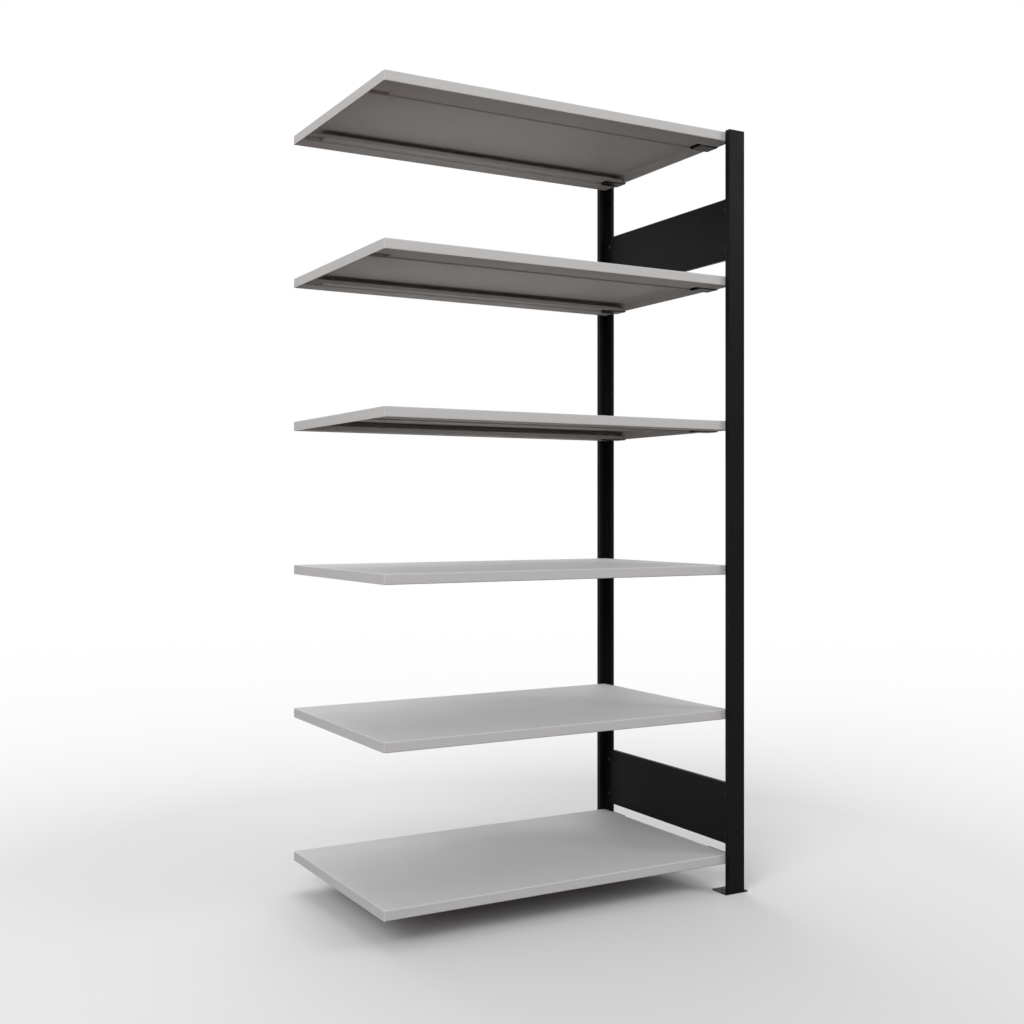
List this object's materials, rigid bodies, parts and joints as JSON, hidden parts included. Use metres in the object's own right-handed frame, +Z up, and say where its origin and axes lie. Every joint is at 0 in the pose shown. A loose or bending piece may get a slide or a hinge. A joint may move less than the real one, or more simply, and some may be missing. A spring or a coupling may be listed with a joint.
{
  "type": "office shelving unit",
  "caption": "Double-sided add-on bay of steel office shelving: folded grey shelves on hook-in clips, carried at one end by a black frame of slotted T-posts and cross plates.",
  "frame": {"origin": "on the floor, in the middle of the bay's length and depth", "axes": "+X along the shelves towards the end frame, +Y from the front to the rear, +Z up"},
  "size_m": [1.0484, 0.639, 2.03],
  "materials": {
    "shelf_grey": "light grey powder coat, satin",
    "frame_black": "black-grey powder coat, fine texture",
    "cap_plastic": "moulded black plastic",
    "fastener_zinc": "black zinc-plated steel"
  },
  "bodies": {
    "frame": {"front_post": "frame_black", "rear_post": "frame_black", "lower_cross_plate": "frame_black", "upper_cross_plate": "frame_black", "front_foot_plate": "frame_black", "rear_foot_plate": "frame_black", "front_post_cap": "cap_plastic", "rear_post_cap": "cap_plastic", "shelf_1_front_clip": "frame_black", "shelf_1_rear_clip": "frame_black", "shelf_2_front_clip": "frame_black", "shelf_2_rear_clip": "frame_black", "shelf_3_front_clip": "frame_black", "shelf_3_rear_clip": "frame_black", "shelf_4_front_clip": "frame_black", "shelf_4_rear_clip": "frame_black", "shelf_5_front_clip": "frame_black", "shelf_5_rear_clip": "frame_black", "shelf_6_front_clip": "frame_black", "shelf_6_rear_clip": "frame_black", "lower_front_low_bolt": "fastener_zinc", "lower_front_high_bolt": "fastener_zinc", "lower_rear_low_bolt": "fastener_zinc", "lower_rear_high_bolt": "fastener_zinc", "upper_front_low_bolt": "fastener_zinc", "upper_front_high_bolt": "fastener_zinc", "upper_rear_low_bolt": "fastener_zinc", "upper_rear_high_bolt": "fastener_zinc", "lower_front_low_nut": "fastener_zinc", "lower_front_high_nut": "fastener_zinc", "lower_rear_low_nut": "fastener_zinc", "lower_rear_high_nut": "fastener_zinc", "upper_front_low_nut": "fastener_zinc", "upper_front_high_nut": "fastener_zinc", "upper_rear_low_nut": "fastener_zinc", "upper_rear_high_nut": "fastener_zinc"},
    "shelf_1": {"shelf_1_pan": "shelf_grey", "shelf_1_front_stiffener": "shelf_grey", "shelf_1_rear_stiffener": "shelf_grey"},
    "shelf_2": {"shelf_2_pan": "shelf_grey", "shelf_2_front_stiffener": "shelf_grey", "shelf_2_rear_stiffener": "shelf_grey"},
    "shelf_3": {"shelf_3_pan": "shelf_grey", "shelf_3_front_stiffener": "shelf_grey", "shelf_3_rear_stiffener": "shelf_grey"},
    "shelf_4": {"shelf_4_pan": "shelf_grey", "shelf_4_front_stiffener": "shelf_grey", "shelf_4_rear_stiffener": "shelf_grey"},
    "shelf_5": {"shelf_5_pan": "shelf_grey", "shelf_5_front_stiffener": "shelf_grey", "shelf_5_rear_stiffener": "shelf_grey"},
    "shelf_6": {"shelf_6_pan": "shelf_grey", "shelf_6_front_stiffener": "shelf_grey", "shelf_6_rear_stiffener": "shelf_grey"}
  },
  "joints": [
    {"name": "shelf_1_lift", "type": "slide", "parent": "frame", "child": "shelf_1", "axis": [0, 0, 1], "range_m": [0, 0.35]},
    {"name": "shelf_2_lift", "type": "slide", "parent": "frame", "child": "shelf_2", "axis": [0, 0, 1], "range_m": [0, 0.35]},
    {"name": "shelf_3_lift", "type": "slide", "parent": "frame", "child": "shelf_3", "axis": [0, 0, 1], "range_m": [0, 0.35]},
    {"name": "shelf_4_lift", "type": "slide", "parent": "frame", "child": "shelf_4", "axis": [0, 0, 1], "range_m": [0, 0.35]},
    {"name": "shelf_5_lift", "type": "slide", "parent": "frame", "child": "shelf_5", "axis": [0, 0, 1], "range_m": [0, 0.35]},
    {"name": "shelf_6_lift", "type": "slide", "parent": "frame", "child": "shelf_6", "axis": [0, 0, 1], "range_m": [0, 0.35]}
  ]
}
